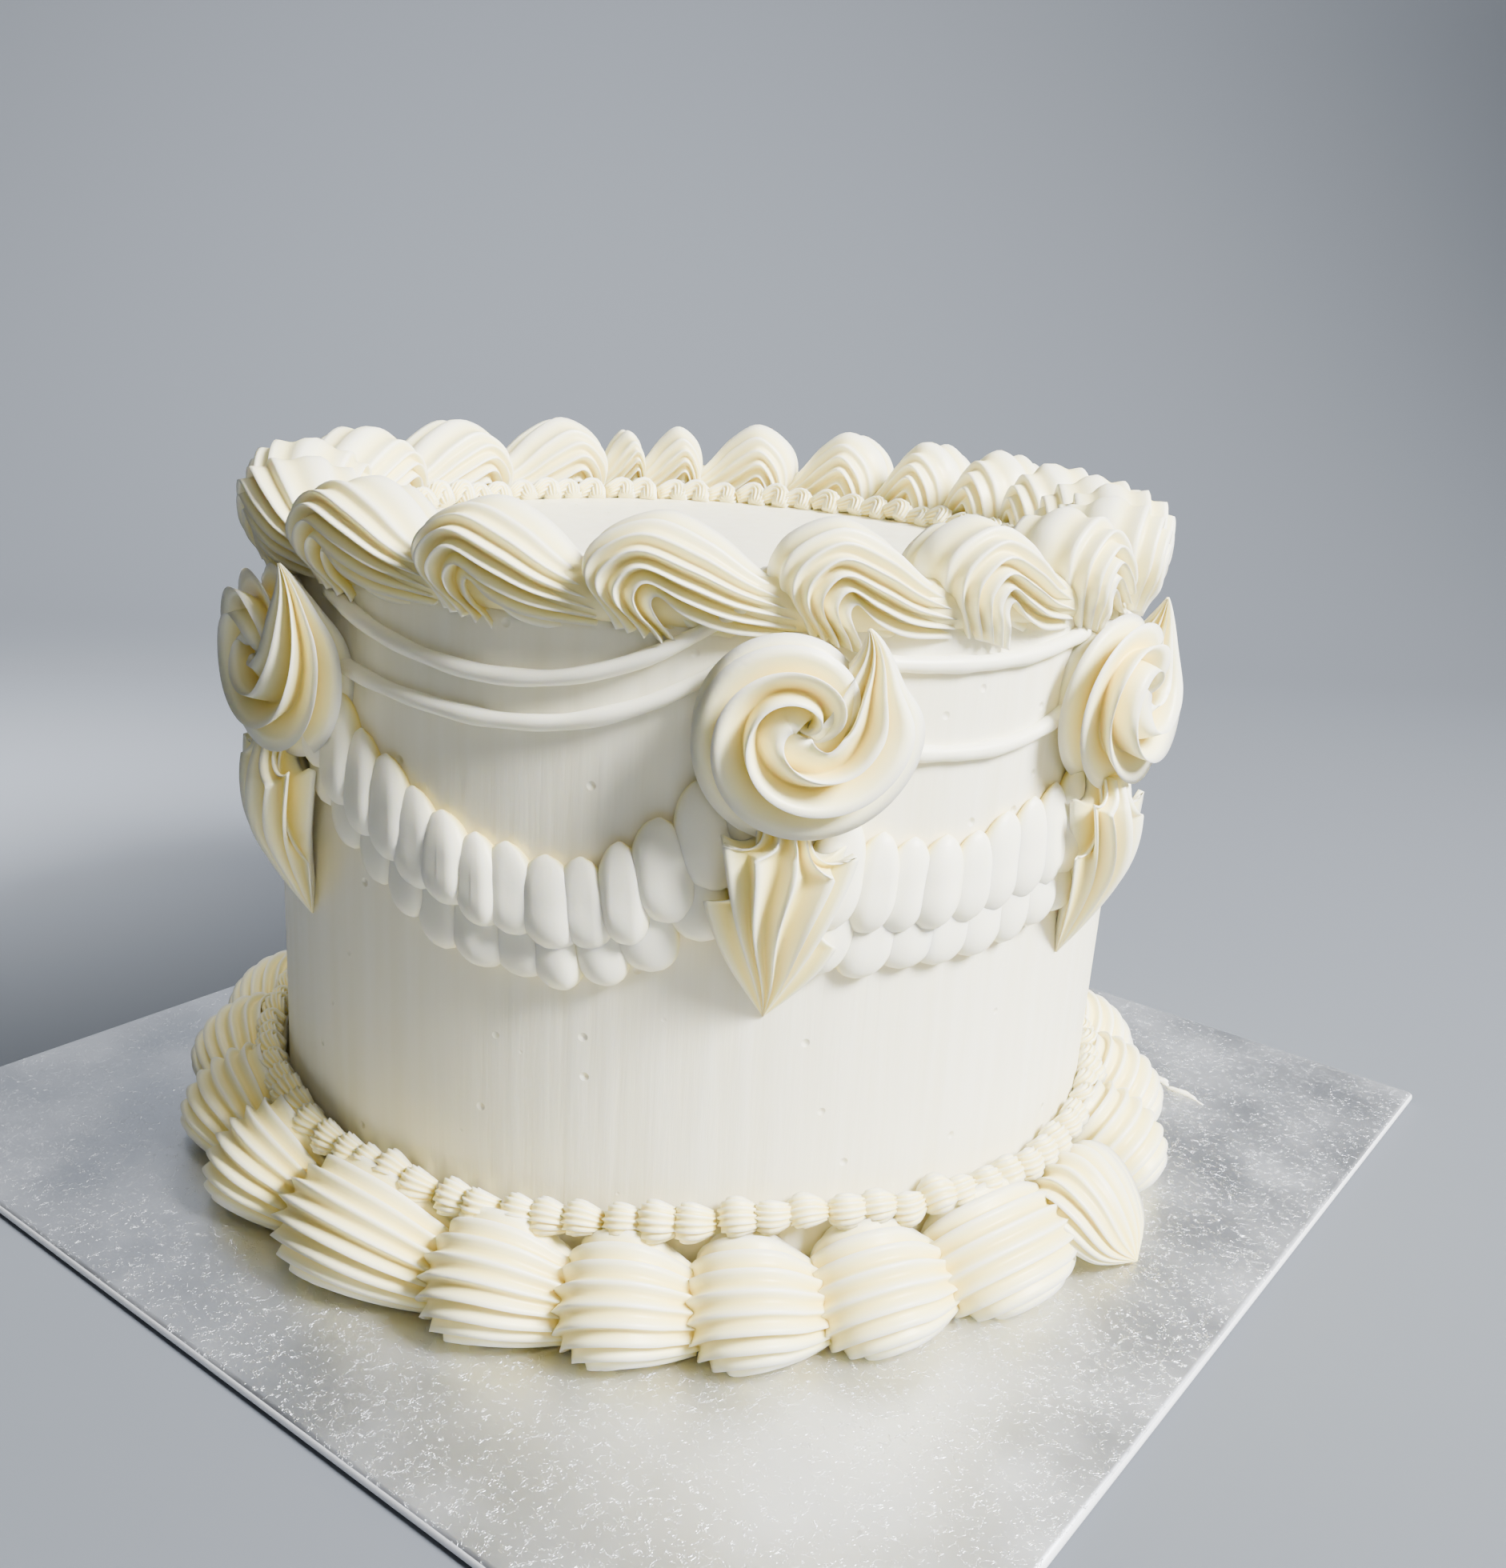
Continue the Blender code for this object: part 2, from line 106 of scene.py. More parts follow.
def make_camera():
    data = bpy.data.cameras.new("camera")
    data.sensor_fit = "VERTICAL"
    data.sensor_height = SENSOR
    data.lens = FOCAL_PIXELS / PHOTO_HEIGHT * SENSOR
    data.clip_start = 0.01
    turn = math.radians(FRONT_TURN)
    up = Vector((0, 0, 1))
    ahead = Vector((-math.sin(turn), math.cos(turn), 0))
    right = ahead.cross(up)
    ahead, right = (ahead * math.cos(CAMERA_YAW) + right * math.sin(CAMERA_YAW),
                    right * math.cos(CAMERA_YAW) - ahead * math.sin(CAMERA_YAW))
    look = ahead * math.cos(CAMERA_PITCH) - up * math.sin(CAMERA_PITCH)
    down = look.cross(right)
    x_axis = right * math.cos(CAMERA_ROLL) + down * math.sin(CAMERA_ROLL)
    y_axis = right * math.sin(CAMERA_ROLL) - down * math.cos(CAMERA_ROLL)
    camera = bpy.data.objects.new("camera", data)
    turned = Matrix((x_axis, y_axis, -look)).transposed().to_4x4()
    camera.matrix_world = Matrix.Translation(spot(0, CAMERA_DISTANCE, CAMERA_HEIGHT)) @ turned
    bpy.context.scene.collection.objects.link(camera)
    bpy.context.scene.camera = camera
    return camera


camera = make_camera()
print("camera at", [round(v, 3) for v in camera.matrix_world.translation])

# %% [markdown]
# ## Icing
#
# Buttercream is butter and sugar: an ivory paste that light enters, so it has soft shadows, a satin
# shine, and a warm yellow glow where it folds over itself. Subsurface scattering gives the softness.
# The yellow glow and shade of the folds are painted into the colour, by a value that each piped
# piece carries on its points: 0 on a ridge, and 1 at the bottom of a fold.

# %% Helpers for shader nodes
def new_material(name):
    material = bpy.data.materials.new(name)
    material.use_nodes = True
    nodes = material.node_tree.nodes
    return material, nodes, material.node_tree.links, nodes["Principled BSDF"]


def add_node(nodes, kind, **settings):
    node = nodes.new(kind)
    for name, value in settings.items():
        setattr(node, name, value)
    return node


def ramp(nodes, stops):
    """A colour ramp from (place, colour) pairs."""
    node = nodes.new("ShaderNodeValToRGB")
    elements = node.color_ramp.elements
    while len(elements) > 1:
        elements.remove(elements[-1])
    elements[0].position, elements[0].color = stops[0]
    for place, colour in stops[1:]:
        elements.new(place).color = colour
    return node


def add_bump(nodes, links, height, strength, distance, below=None):
    """Relief from a height, laid over the relief below it if there is one."""
    bump = add_node(nodes, "ShaderNodeBump")
    bump.inputs["Strength"].default_value = strength
    bump.inputs["Distance"].default_value = distance
    links.new(height, bump.inputs["Height"])
    if below:
        links.new(below, bump.inputs["Normal"])
    return bump.outputs["Normal"]


def set_softness(shader, roughness, weight, radius, scale):
    """The shine, and how far light goes into the icing: red the farthest, blue the least."""
    shader.inputs["Roughness"].default_value = roughness
    shader.inputs["Subsurface Weight"].default_value = weight
    shader.inputs["Subsurface Radius"].default_value = radius
    shader.inputs["Subsurface Scale"].default_value = scale


# %% Piped icing
# The icing's own ivory, then the painted glow and shade of a slope and of the bottom of a fold
RIDGE_IVORY = (0.93, 0.90, 0.73, 1)
PAINTED_SLOPE_CREAM = (0.935, 0.862, 0.51, 1)
PAINTED_FOLD_YELLOW = (0.945, 0.765, 0.22, 1)


def make_piped_icing():
    material, nodes, links, shader = new_material("piped_icing")
    # Painted glow and shade: each point's fold value turns the ivory to cream, then to yellow in the
    # folds
    painted_fold_glow = add_node(nodes, "ShaderNodeAttribute", attribute_name="painted_fold_glow")
    colours = ramp(nodes, [(0.0, RIDGE_IVORY), (0.4, PAINTED_SLOPE_CREAM), (1.0, PAINTED_FOLD_YELLOW)])
    links.new(painted_fold_glow.outputs["Fac"], colours.inputs["Fac"])
    links.new(colours.outputs["Color"], shader.inputs["Base Color"])
    place = add_node(nodes, "ShaderNodeTexCoord")
    grain = add_node(nodes, "ShaderNodeTexNoise")
    grain.inputs["Scale"].default_value = 900
    grain.inputs["Detail"].default_value = 4
    links.new(place.outputs["Object"], grain.inputs["Vector"])
    relief = add_bump(nodes, links, grain.outputs["Fac"], 0.12, 0.3 * MM)
    links.new(relief, shader.inputs["Normal"])
    set_softness(shader, 0.42, 0.35, (1.0, 0.85, 0.4), 1.4 * MM)
    return material


PIPED = make_piped_icing()

# %% [markdown]
# ## A skin over rings of points
#
# Every piped piece is a grid of points: rows along the path, and columns round the section. This
# function closes the grid into one solid skin and stores how deep in a fold each point lies, which
# sets the painted glow and shade of the folds.

# %% Turning rings of points into a piece
def skin(name, rings, material, painted_fold_glow=0, loop=False):
    rows, columns = rings.shape[:2]
    points = rings.reshape(-1, 3)
    first_rows = np.arange(rows if loop else rows - 1)
    row, column = np.meshgrid(first_rows, np.arange(columns), indexing="ij")
    after = (column + 1) % columns
    below = (row + 1) % rows
    quads = np.stack([row * columns + column, row * columns + after,
                      below * columns + after, below * columns + column], axis=-1).reshape(-1, 4)
    deep = np.clip(np.broadcast_to(painted_fold_glow, (rows, columns)), 0, 1).reshape(-1)
    faces = quads.tolist()
    if not loop:
        first, last = len(points), len(points) + 1
        points = np.vstack([points, rings[0].mean(axis=0), rings[-1].mean(axis=0)])
        deep = np.append(deep, [deep[:columns].mean(), deep[-columns:].mean()])
        base = (rows - 1) * columns
        for i in range(columns):
            j = (i + 1) % columns
            faces.append([first, j, i])
            faces.append([last, base + i, base + j])
    a, b, c = points[quads[:, 0]], points[quads[:, 1]], points[quads[:, 2]]
    middle = points.mean(axis=0)
    if np.einsum("ij,ij->", a + c - 2 * middle, np.cross(b - a, c - a)) < 0:
        faces = [face[::-1] for face in faces]
    mesh = bpy.data.meshes.new(name)
    mesh.from_pydata(points.tolist(), [], faces)
    mesh.shade_smooth()
    # The fold value, which paints the glow and shade of the folds into the icing's colour
    mesh.attributes.new("painted_fold_glow", "FLOAT", "POINT").data.foreach_set("value", deep)
    mesh.materials.append(material)
    piece = bpy.data.objects.new(name, mesh)
    bpy.context.scene.collection.objects.link(piece)
    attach(piece, "root")
    return piece


def through(points, shares):
    """A smooth curve through points or numbers, read at the given shares of the way, from 0 to 1."""
    points = np.asarray(points, dtype=float)
    padded = np.concatenate([[2 * points[0] - points[1]], points, [2 * points[-1] - points[-2]]])
    place = np.clip(np.asarray(shares), 0, 1) * (len(points) - 1)
    i = np.minimum(place.astype(int), len(points) - 2)
    t = (place - i).reshape((-1,) + (1,) * (points.ndim - 1))
    p0, p1, p2, p3 = (padded[i + k] for k in range(4))
    return 0.5 * (2 * p1 + (p2 - p0) * t + (2 * p0 - 5 * p1 + 4 * p2 - p3) * t**2
                  + (3 * p1 - p0 - 3 * p2 + p3) * t**3)


def star(around, ridges, sharpness):
    """1 on each ridge of a star-shaped section, 0 in each groove. Sharpness 1 gives thin fins."""
    off_ridge = np.abs(np.sin(ridges * around / 2))
    return 1 - (1 - sharpness) * off_ridge**2 - sharpness * off_ridge


# %% [markdown]
# ## Shells
#
# A shell starts as a mound: the icing pushes up, folds forward, then is drawn back and down to a
# tail, and the next shell's head covers that tail. Seen from outside, the ridges nest like arches
# round a tight curl low in the middle. So each row of points lies between an inner path, which
# turns sharply round the curl, and an outer path, which is the shell's outline.

# %% One shell
SHELL_RIDGES = 14
POINTS_PER_RIDGE = 8
SHELL_ROWS = 36


def across_paths(inner, middle, outer, share):
    """Points between three paths: the inner one at share 0, the middle at 0.5, the outer at 1."""
    inner, middle, outer = (path[:, None, :] for path in (inner, middle, outer))
    share = share[..., None]
    return (inner * (1 - share) * (1 - 2 * share) + middle * 4 * share * (1 - share)
            + outer * share * (2 * share - 1))


def shell(name, start, end, form, rng, replaced):
    """A ridged shell from angle start to angle end, in the form of its row."""
    shares = np.linspace(0, 1, SHELL_ROWS) ** 1.25
    around = circle(SHELL_RIDGES * POINTS_PER_RIDGE)
    crest = star(around, SHELL_RIDGES, form["sharpness"])
    wander = rng.uniform(0.02, 0.06)
    turned = around + wander * np.sin(5 * shares[:, None] + rng.uniform(0, 6) + 2 * around)
    curl = 0.5 - 0.5 * np.cos(around)
    reach = 1 - form["groove"] * (0.7 + 0.6 * curl) * (1 - crest)
    even = 1 - np.abs((turned + math.pi) % (2 * math.pi) - math.pi) / math.pi * 2
    share = 0.5 + 0.5 * reach * (0.65 * even + 0.35 * np.cos(turned))
    paths = [through(form[path], shares) for path in ("inner", "middle", "outer")]
    flat = across_paths(*paths, share)
    side = np.sin(turned)
    steep = 0.43 + 0.21 * np.cos(around)
    fullness = through(form["fullness"], shares)[:, None] * form["depth"]
    face = fullness * reach * np.sign(side) * np.abs(side) ** steep
    toe = np.clip(1 - shares / 0.1, 0, 1)[:, None] ** 2
    up = (flat[..., 1] - 0.5) * form["height"] - toe * crest * form["toe"]
    taller = 1 + form["uneven"] * math.cos(math.radians((start + end) / 2 - form["highest"]))
    up = up * taller * min(1, 0.55 + 0.03 * (end - start))
    angle = start + (end - start) * flat[..., 0]
    seat, rise, outward = form["seat"], form["rise"], form["face"]
    radius, level = (seat[k] + rise[k] * up + outward[k] * face for k in range(2))
    # Painted glow and shade: the grooves are painted yellow, more so towards the inner path round the
    # curl
    painted_fold_glow = (1 - crest) * (0.6 + 0.4 * curl)
    piece = skin(name, spot(angle, radius, level), PIPED, painted_fold_glow)
    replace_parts(piece, replaced)


def shell_row(label, replaced, starts, form, seed):
    """A closed row of shells. Each one's tail runs on under the head of the next."""
    rng = random.Random(seed)
    ends = starts[1:] + (starts[0] + 360,)
    for i, (start, end) in enumerate(zip(starts, ends), 1):
        shell(f"{label}_{i:02d}", start, end, form, rng, f"{replaced}_{i:02d}")


# %% The border over the top edge
RIM_STARTS = (-52.9, -32.2, -13.3, 6.7, 24.7, 42.8, 60, 76, 91, 104, 118, 133, 148, 165, 182, 193,
              200, 220, 242, 264, 286)
RIM_FORM = {
    "outer": [(0.13, 0.06), (0.0, 0.48), (0.10, 0.82), (0.42, 1.0),
              (0.70, 0.84), (0.92, 0.57), (1.12, 0.34)],
    "middle": [(0.33, 0.0), (0.20, 0.24), (0.20, 0.44), (0.34, 0.61),
               (0.58, 0.47), (0.83, 0.29), (1.12, 0.17)],
    "inner": [(0.60, -0.12), (0.53, 0.02), (0.48, 0.17), (0.50, 0.19),
              (0.59, 0.01), (0.78, -0.09), (1.12, -0.10)],
    "fullness": [0.60, 0.88, 0.97, 1.0, 0.92, 0.76, 0.55],
    "seat": (101 * MM, 163 * MM),
    "rise": (-0.10, 0.995),
    "face": (0.995, 0.10),
    "height": 25.5 * MM,
    "depth": 15.4 * MM,
    "toe": 1.6 * MM,
    "uneven": 0.12,
    "highest": 160,
    "groove": 0.21,
    "sharpness": 0.6,
}
shell_row("rim_icing", "rim_shell", RIM_STARTS, RIM_FORM, 7)
print("shells over the top edge:", len(RIM_STARTS))


def make_rim_core():
    """A plain ring of icing behind the curls, so that no gap shows between them and the cake."""
    angles = np.linspace(0, 360, 180, endpoint=False)[:, None]
    around = circle(16)
    points = spot(angles, (105 + 5.5 * np.cos(around)) * MM, (157.5 + 5.5 * np.sin(around)) * MM)
    # Painted shade: the ring carries a fold value of 0.6, so it has the painted yellow of a shaded
    # fold
    skin("rim_core", points, PIPED, 0.6, loop=True)


make_rim_core()

# %% [markdown]
# ## Mounds
#
# The border on the board is piped with the same nozzle, but held upright. The icing leaves the board
# straight up, bends over and is drawn along the row, so its fins stand on the board in small points
# and then run level. The beads are the same thing at a quarter of the size. A mound is a star-shaped
# section that follows such a bent path, in sizes relative to its length.

# %% One mound
BOARD_GAP = 0.2 * MM
MOUND = {
    "path": [(0.38, -0.10), (0.35, 0.14), (0.39, 0.34), (0.60, 0.42), (0.86, 0.30), (1.14, 0.14)],
    "depth": [0.32, 0.35, 0.35, 0.31, 0.27, 0.21],
    "width": [0.32, 0.43, 0.51, 0.51, 0.43, 0.31],
}
END_FAN = {
    "path": [(0.0, -0.10), (0.0, 0.22), (0.12, 0.46), (0.45, 0.42), (0.80, 0.20), (1.0, 0.03)],
    "depth": [0.30, 0.36, 0.36, 0.26, 0.13, 0.01],
    "width": [0.55, 0.70, 0.76, 0.72, 0.52, 0.01],
}


def mound(name, form, place, ridges, rows, per_ridge, groove, rng):
    """A ridged mound. The place function takes along, sideways and upward sizes."""
    shares = np.linspace(0, 1, rows)
    path = through(form["path"], shares)
    depth, width = (through(form[key], shares)[:, None] for key in ("depth", "width"))
    ahead = np.gradient(path, axis=0)
    ahead /= np.linalg.norm(ahead, axis=1)[:, None]
    around = circle(ridges * per_ridge)
    crest = star(around, ridges, 0.85)
    reach = 1 - groove * (1 - crest) * (1 + 0.15 * np.sin(3 * around + rng.uniform(0, 6)))
    turned = around + rng.uniform(-0.05, 0.05)
    turned = turned + 0.05 * np.sin(4 * shares[:, None] + rng.uniform(0, 6))
    out = depth * reach * np.cos(turned)
    along = path[:, :1] - ahead[:, 1:] * out
    up = path[:, 1:] + ahead[:, :1] * out
    # Painted glow and shade: yellow in the grooves, and painted shade over the last part of the tail,
    # which the next mound covers
    tail_painted_shade = np.clip((shares - 0.7) / 0.3, 0, 1)[:, None]
    painted_fold_glow = (1 - crest) * 0.85 + 0.4 * tail_painted_shade
    return skin(name, place(along, width * reach * np.sin(turned), up), PIPED, painted_fold_glow)


def in_row(start, end, seat, rise, face, size):
    """Puts a mound into a row round the cake: rise is the way across it, and face the way out."""
    def place(along, side, up):
        radius = seat[0] + size * (rise[0] * side + face[0] * up)
        level = seat[1] + size * (rise[1] * side + face[1] * up)
        return spot(start + (end - start) * along, radius, np.maximum(level, BOARD_GAP))
    return place


def pulled_outward(angle, start, end, size):
    """Puts a mound on the board so that its tail points away from the cake."""
    def place(along, side, up):
        outward = start + (end - start) * along
        level = np.maximum(size * up, BOARD_GAP)
        return spot(angle + np.degrees(size * side / outward), outward, level)
    return place


# %% The border round the foot
FOOT_STARTS = (-47.7, -26.5, -12.2, 0.8, 13.9, 28.1, 46.8, 61.5, 76.2, 90.9, 105.6, 120.3, 135,
               149.7, 164.4, 179.1, 193.9, 208.7, 223.5, 238.3, 253.1, 267.9, 282.7, 297.5)
FOOT_RIDGES = 20
FOOT_SEAT = (114.9 * MM, 3.0 * MM)
END_OF_ROW = 7


def make_foot_border():
    rng = random.Random(11)
    ends = FOOT_STARTS[1:] + (FOOT_STARTS[0] + 360,)
    for i, (start, end) in enumerate(zip(FOOT_STARTS, ends), 1):
        if i == END_OF_ROW:
            form, place = END_FAN, pulled_outward(52.8, 117 * MM, 138.4 * MM, 27 * MM)
        else:
            form, place = MOUND, in_row(start, end, FOOT_SEAT, (-0.81, 0.58), (0.58, 0.81), 29.5 * MM)
        piece = mound(f"foot_icing_{i:02d}", form, place, FOOT_RIDGES, 36, 6, 0.2, rng)
        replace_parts(piece, f"foot_shell_{i:02d}")


make_foot_border()
print("shells round the foot:", len(FOOT_STARTS))

# %% [markdown]
# ## The iced cake
#
# The side is scraped round while the turntable turns. That leaves faint upright bands, and a small
# step where the scraper was lifted off, on the right of the front. The side and the top are one
# turned skin, so that the light runs over them without a break.

# %% The smooth icing of the side and the top
BAND_CREAM = (0.89, 0.845, 0.63, 1)
BAND_IVORY = (0.95, 0.91, 0.73, 1)


def make_smooth_icing():
    material, nodes, links, shader = new_material("smooth_icing")
    place = add_node(nodes, "ShaderNodeTexCoord")
    stretch = add_node(nodes, "ShaderNodeMapping")
    stretch.inputs["Scale"].default_value = (1, 1, 0.06)
    bands = add_node(nodes, "ShaderNodeTexNoise")
    bands.inputs["Scale"].default_value = 220
    bands.inputs["Detail"].default_value = 6
    links.new(place.outputs["Object"], stretch.inputs["Vector"])
    links.new(stretch.outputs["Vector"], bands.inputs["Vector"])
    tint = ramp(nodes, [(0.3, BAND_CREAM), (0.7, BAND_IVORY)])
    links.new(bands.outputs["Fac"], tint.inputs["Fac"])
    links.new(tint.outputs["Color"], shader.inputs["Base Color"])
    pits = add_node(nodes, "ShaderNodeTexVoronoi")
    pits.inputs["Scale"].default_value = 95
    pits.inputs["Randomness"].default_value = 1
    links.new(place.outputs["Object"], pits.inputs["Vector"])
    hole = ramp(nodes, [(0.0, (0, 0, 0, 1)), (0.10, (1, 1, 1, 1))])
    links.new(pits.outputs["Distance"], hole.inputs["Fac"])
    scraped = add_bump(nodes, links, bands.outputs["Fac"], 0.5, 0.6 * MM)
    pitted = add_bump(nodes, links, hole.outputs["Color"], 0.8, 0.8 * MM, scraped)
    links.new(pitted, shader.inputs["Normal"])
    set_softness(shader, 0.4, 0.3, (1.0, 0.85, 0.45), 4 * MM)
    return material


SMOOTH = make_smooth_icing()
BODY_COLUMNS = 300


def make_body():
    """The side and the top, turned round the cake's axis and left slightly uneven."""
    side = [(CAKE_RADIUS, height) for height in np.linspace(0.3 * MM, CAKE_HEIGHT, 46)]
    top = [(radius, CAKE_HEIGHT) for radius in np.linspace(CAKE_RADIUS - 1 * MM, 2 * MM, 30)]
    outline = np.array(side + top)
    angles = np.linspace(0, 360, BODY_COLUMNS, endpoint=False)[None, :]
    radius, height = outline[:, :1], outline[:, 1:]
    turn = np.radians(angles)
    wobble = 0.25 * MM * np.sin(3 * turn + 40 * height)
    wobble = wobble + 0.18 * MM * np.sin(7 * turn - 25 * height + 1)
    scraper_start, scraper_end = 60, 74.5
    rise = np.clip((angles - scraper_start) / (scraper_end - 0.5 - scraper_start), 0, 1)
    step = 1.5 * MM * rise * (angles < scraper_end)
    turned_in = 0.5 * np.sin(turn + 90 * radius / CAKE_RADIUS)
    knife_marks = 0.3 * np.sin(2 * turn + 700 * radius)
    swirl = (turned_in + knife_marks) * MM * (height > CAKE_HEIGHT - 0.1 * MM)
    share = np.clip(radius / CAKE_RADIUS, 0, 1)
    points = spot(angles, radius + share * (wobble + step), height + swirl * share)
    return skin("cake_icing", points, SMOOTH)


cake = make_body()
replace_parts(cake, "cake")

# %% [markdown]
# ## Strings
#
# A string is a thin round line of icing that is only fastened at its two ends and left to sag.

# %% String lines in the six bays
ROSETTE_ANGLES = (10, 54.5, 117.6, 180.7, 243.8, 307)
STRING_RADIUS = 1.8 * MM


def rope(name, angles, heights, radius, ring, rng, columns=14):
    """A round line of icing along the side, slightly thick and thin."""
    shares = np.linspace(0, 1, 70)
    path = through(np.stack([angles, heights], axis=1), shares)
    around = circle(columns)
    wave = 1 + 0.06 * np.sin(19 * shares + rng.uniform(0, 6))
    wave += 0.04 * np.sin(43 * shares + rng.uniform(0, 6))
    size = (radius * wave)[:, None]
    points = spot(path[:, :1], ring + size * np.cos(around), path[:, 1:] + size * np.sin(around))
    skin(name, points, PIPED)


# The left, low and right heights of both lines in each bay, counted from the one right of the front
FIRST_STRINGS = ((147.5, 146, 149.5), (130, 127.3, 134.5))
LONG_STRINGS = ((150, 142, 150), (137, 129.5, 137))
LAST_STRINGS = ((150, 140, 158), (136, 131, 148))
STRINGS = [FIRST_STRINGS] + [LONG_STRINGS] * 4 + [LAST_STRINGS]


def bays():
    """The number, middle angle and half width of each bay between two rosettes."""
    pairs = zip(ROSETTE_ANGLES, ROSETTE_ANGLES[1:] + (ROSETTE_ANGLES[0] + 360,))
    return [(i, (left + right) / 2, (right - left) / 2) for i, (left, right) in enumerate(pairs)]


def make_strings():
    rng = random.Random(21)
    shares = np.linspace(-1, 1, 7)
    for bay, middle, half in bays():
        for row, (left, low, right) in enumerate(STRINGS[bay]):
            ends = np.where(shares < 0, left, right)
            heights = (low + (ends - low) * shares**2) * MM
            rope(f"string_{bay + 1}_{row + 1}", middle + (half - 6) * shares, heights, STRING_RADIUS,
                 CAKE_RADIUS + 1.0 * MM, rng)


make_strings()
print("bays between rosettes:", len(bays()))

# %% [markdown]
# ## Bead borders
#
# Small beads from a fine star nozzle hide the joint between the side and the foot border, and
# another row closes the rim border on the top. Each bead is a small mound of the same form as a
# shell of the foot border.

# %% Bead borders
BEAD_RIDGES = 14
RIDE_OVER = 8
RIDE_WIDTH = 20


def beads(name, count, ring, height, climb, size, seed):
    """A row of beads. By climb it rises in front, where it rides over taller shells."""
    rng = random.Random(seed)
    pieces = []
    for i in range(count):
        angle = 360 * i / count + rng.uniform(-0.6, 0.6)
        away = ((angle + 180 - RIDE_OVER) % 360 - 180) / RIDE_WIDTH
        lift = climb * math.exp(-away**2) + rng.uniform(-0.4, 0.4) * MM
        tilt = rng.uniform(0.3, 0.9)
        rise, face = (-math.sin(tilt), math.cos(tilt)), (math.cos(tilt), math.sin(tilt))
        place = in_row(angle, angle + 360 / count, (ring, height + lift), rise, face,
                       size * rng.uniform(0.88, 1.12))
        pieces.append(mound(f"{name}_{i + 1:02d}", MOUND, place, BEAD_RIDGES, 10, 4, 0.26, rng))
    return join(name, pieces)


def join(name, pieces):
    """Many small pieces as one piece, so that the cake has fewer to handle."""
    with bpy.context.temp_override(active_object=pieces[0], selected_editable_objects=pieces):
        bpy.ops.object.join()
    pieces[0].name = name
    return pieces[0]


beads("foot_beads", 88, 110.8 * MM, 20.5 * MM, 5 * MM, 8.2 * MM, 31)
beads("top_beads", 64, 82.0 * MM, 155.0 * MM, 0, 8.2 * MM, 32)

# %% [markdown]
# ## Rosettes
#
# A rosette is a rope from a large open star, wound once round on itself, from the middle over the
# top, down the left, under and up the right, and pulled off at the upper right. Its ribs are thin
# and tall, and the folds between them are deep, with painted yellow glow and shade in them.

# %% One rosette
ROPE_RIBS = 11
ROPE_GROOVE = 0.62
ROSETTE_HEIGHT = 136 * MM


def on_side(angle, height):
    """Bends flat (across, up, out) sizes round the side of the cake, about one place on it."""
    def place(points):
        across, up, out = np.moveaxis(points, -1, 0)
        radius = CAKE_RADIUS + np.maximum(out, -3 * MM)
        return spot(angle + np.degrees(across / CAKE_RADIUS), radius, height + up)
    return place


def swept(name, middles, widths, depths, ribs, groove, sharpness, twist, place, columns=8):
    """A ribbed rope through the middles, which lie flat as (across, up, out) and are then placed."""
    tangent = np.gradient(middles, axis=0)
    tangent /= np.linalg.norm(tangent, axis=1)[:, None]
    facing = np.array([0.0, 0.0, 1.0])
    outward = facing - (facing * tangent).sum(axis=1)[:, None] * tangent
    outward /= np.linalg.norm(outward, axis=1)[:, None]
    sideways = np.cross(tangent, outward)
    around = circle(ribs * columns)
    crest = star(around, ribs, sharpness)
    reach = 1 - groove * (1 - crest)
    turned = around + twist[:, None]
    points = (middles[:, None, :]
              + (depths[:, None] * reach * np.cos(turned))[..., None] * outward[:, None, :]
              + (widths[:, None] * reach * np.sin(turned))[..., None] * sideways[:, None, :])
    # Painted glow and shade: the grooves between the ribs get the painted fold yellow
    return skin(name, place(points), PIPED, 1 - crest)


def make_rosette(number, angle, rng):
    shares = np.linspace(0, 1, 100)
    turn = np.radians(through([20, 80, 135, 195, 250, 305, 355, 395, 425], shares))
    away = through([1.0, 5.5, 8.8, 10.0, 10.6, 11.0, 11.0, 13.5, 22.0], shares) * MM
    out = through([5, 7.5, 7.0, 6.5, 6.5, 6.5, 7, 8.5, 11], shares) * MM
    widths = through([6, 9.5, 11.0, 11.8, 12.4, 12.6, 11.6, 7.4, 0.4], shares) * MM
    depths = widths * 0.86
    middles = np.stack([away * np.cos(turn), away * np.sin(turn), out], axis=1)
    widths *= 1 + 0.05 * np.sin(21 * shares + rng.uniform(0, 6))
    twist = 0.2 + 1.2 * shares + rng.uniform(-0.15, 0.15)
    place = on_side(angle, ROSETTE_HEIGHT)
    name = f"rosette_icing_{number}"
    rosette = swept(name, middles, widths, depths, ROPE_RIBS, ROPE_GROOVE, 1.0, twist, place)
    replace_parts(rosette, f"rosette_{number}")


# %% [markdown]
# ## Drops
#
# Below each rosette the same nozzle leaves one drop: pressed against the cake, then drawn down to a
# point. Its middle fins run the whole way. The outer ones stand off like leaves: two on each side,
# which end in free corners, because the hand rocked while it pressed.

# %% One drop
DROP_TURN = -1.5
DROP_TOP = 117 * MM
DROP_TIP = 71.5 * MM
DROP_FINS = 12


def leaf(shares, corner, widest, curve):
    """Half widths of a fin down a drop: tucked in above its free corner, narrowing below it."""
    above = 5 + (widest - 5) * np.clip(shares / corner, 0, 1) ** 4
    below = widest * (1 - np.clip((shares - corner) / (1 - corner), 0, 1) ** curve)
    return np.where(shares < corner, above, below)


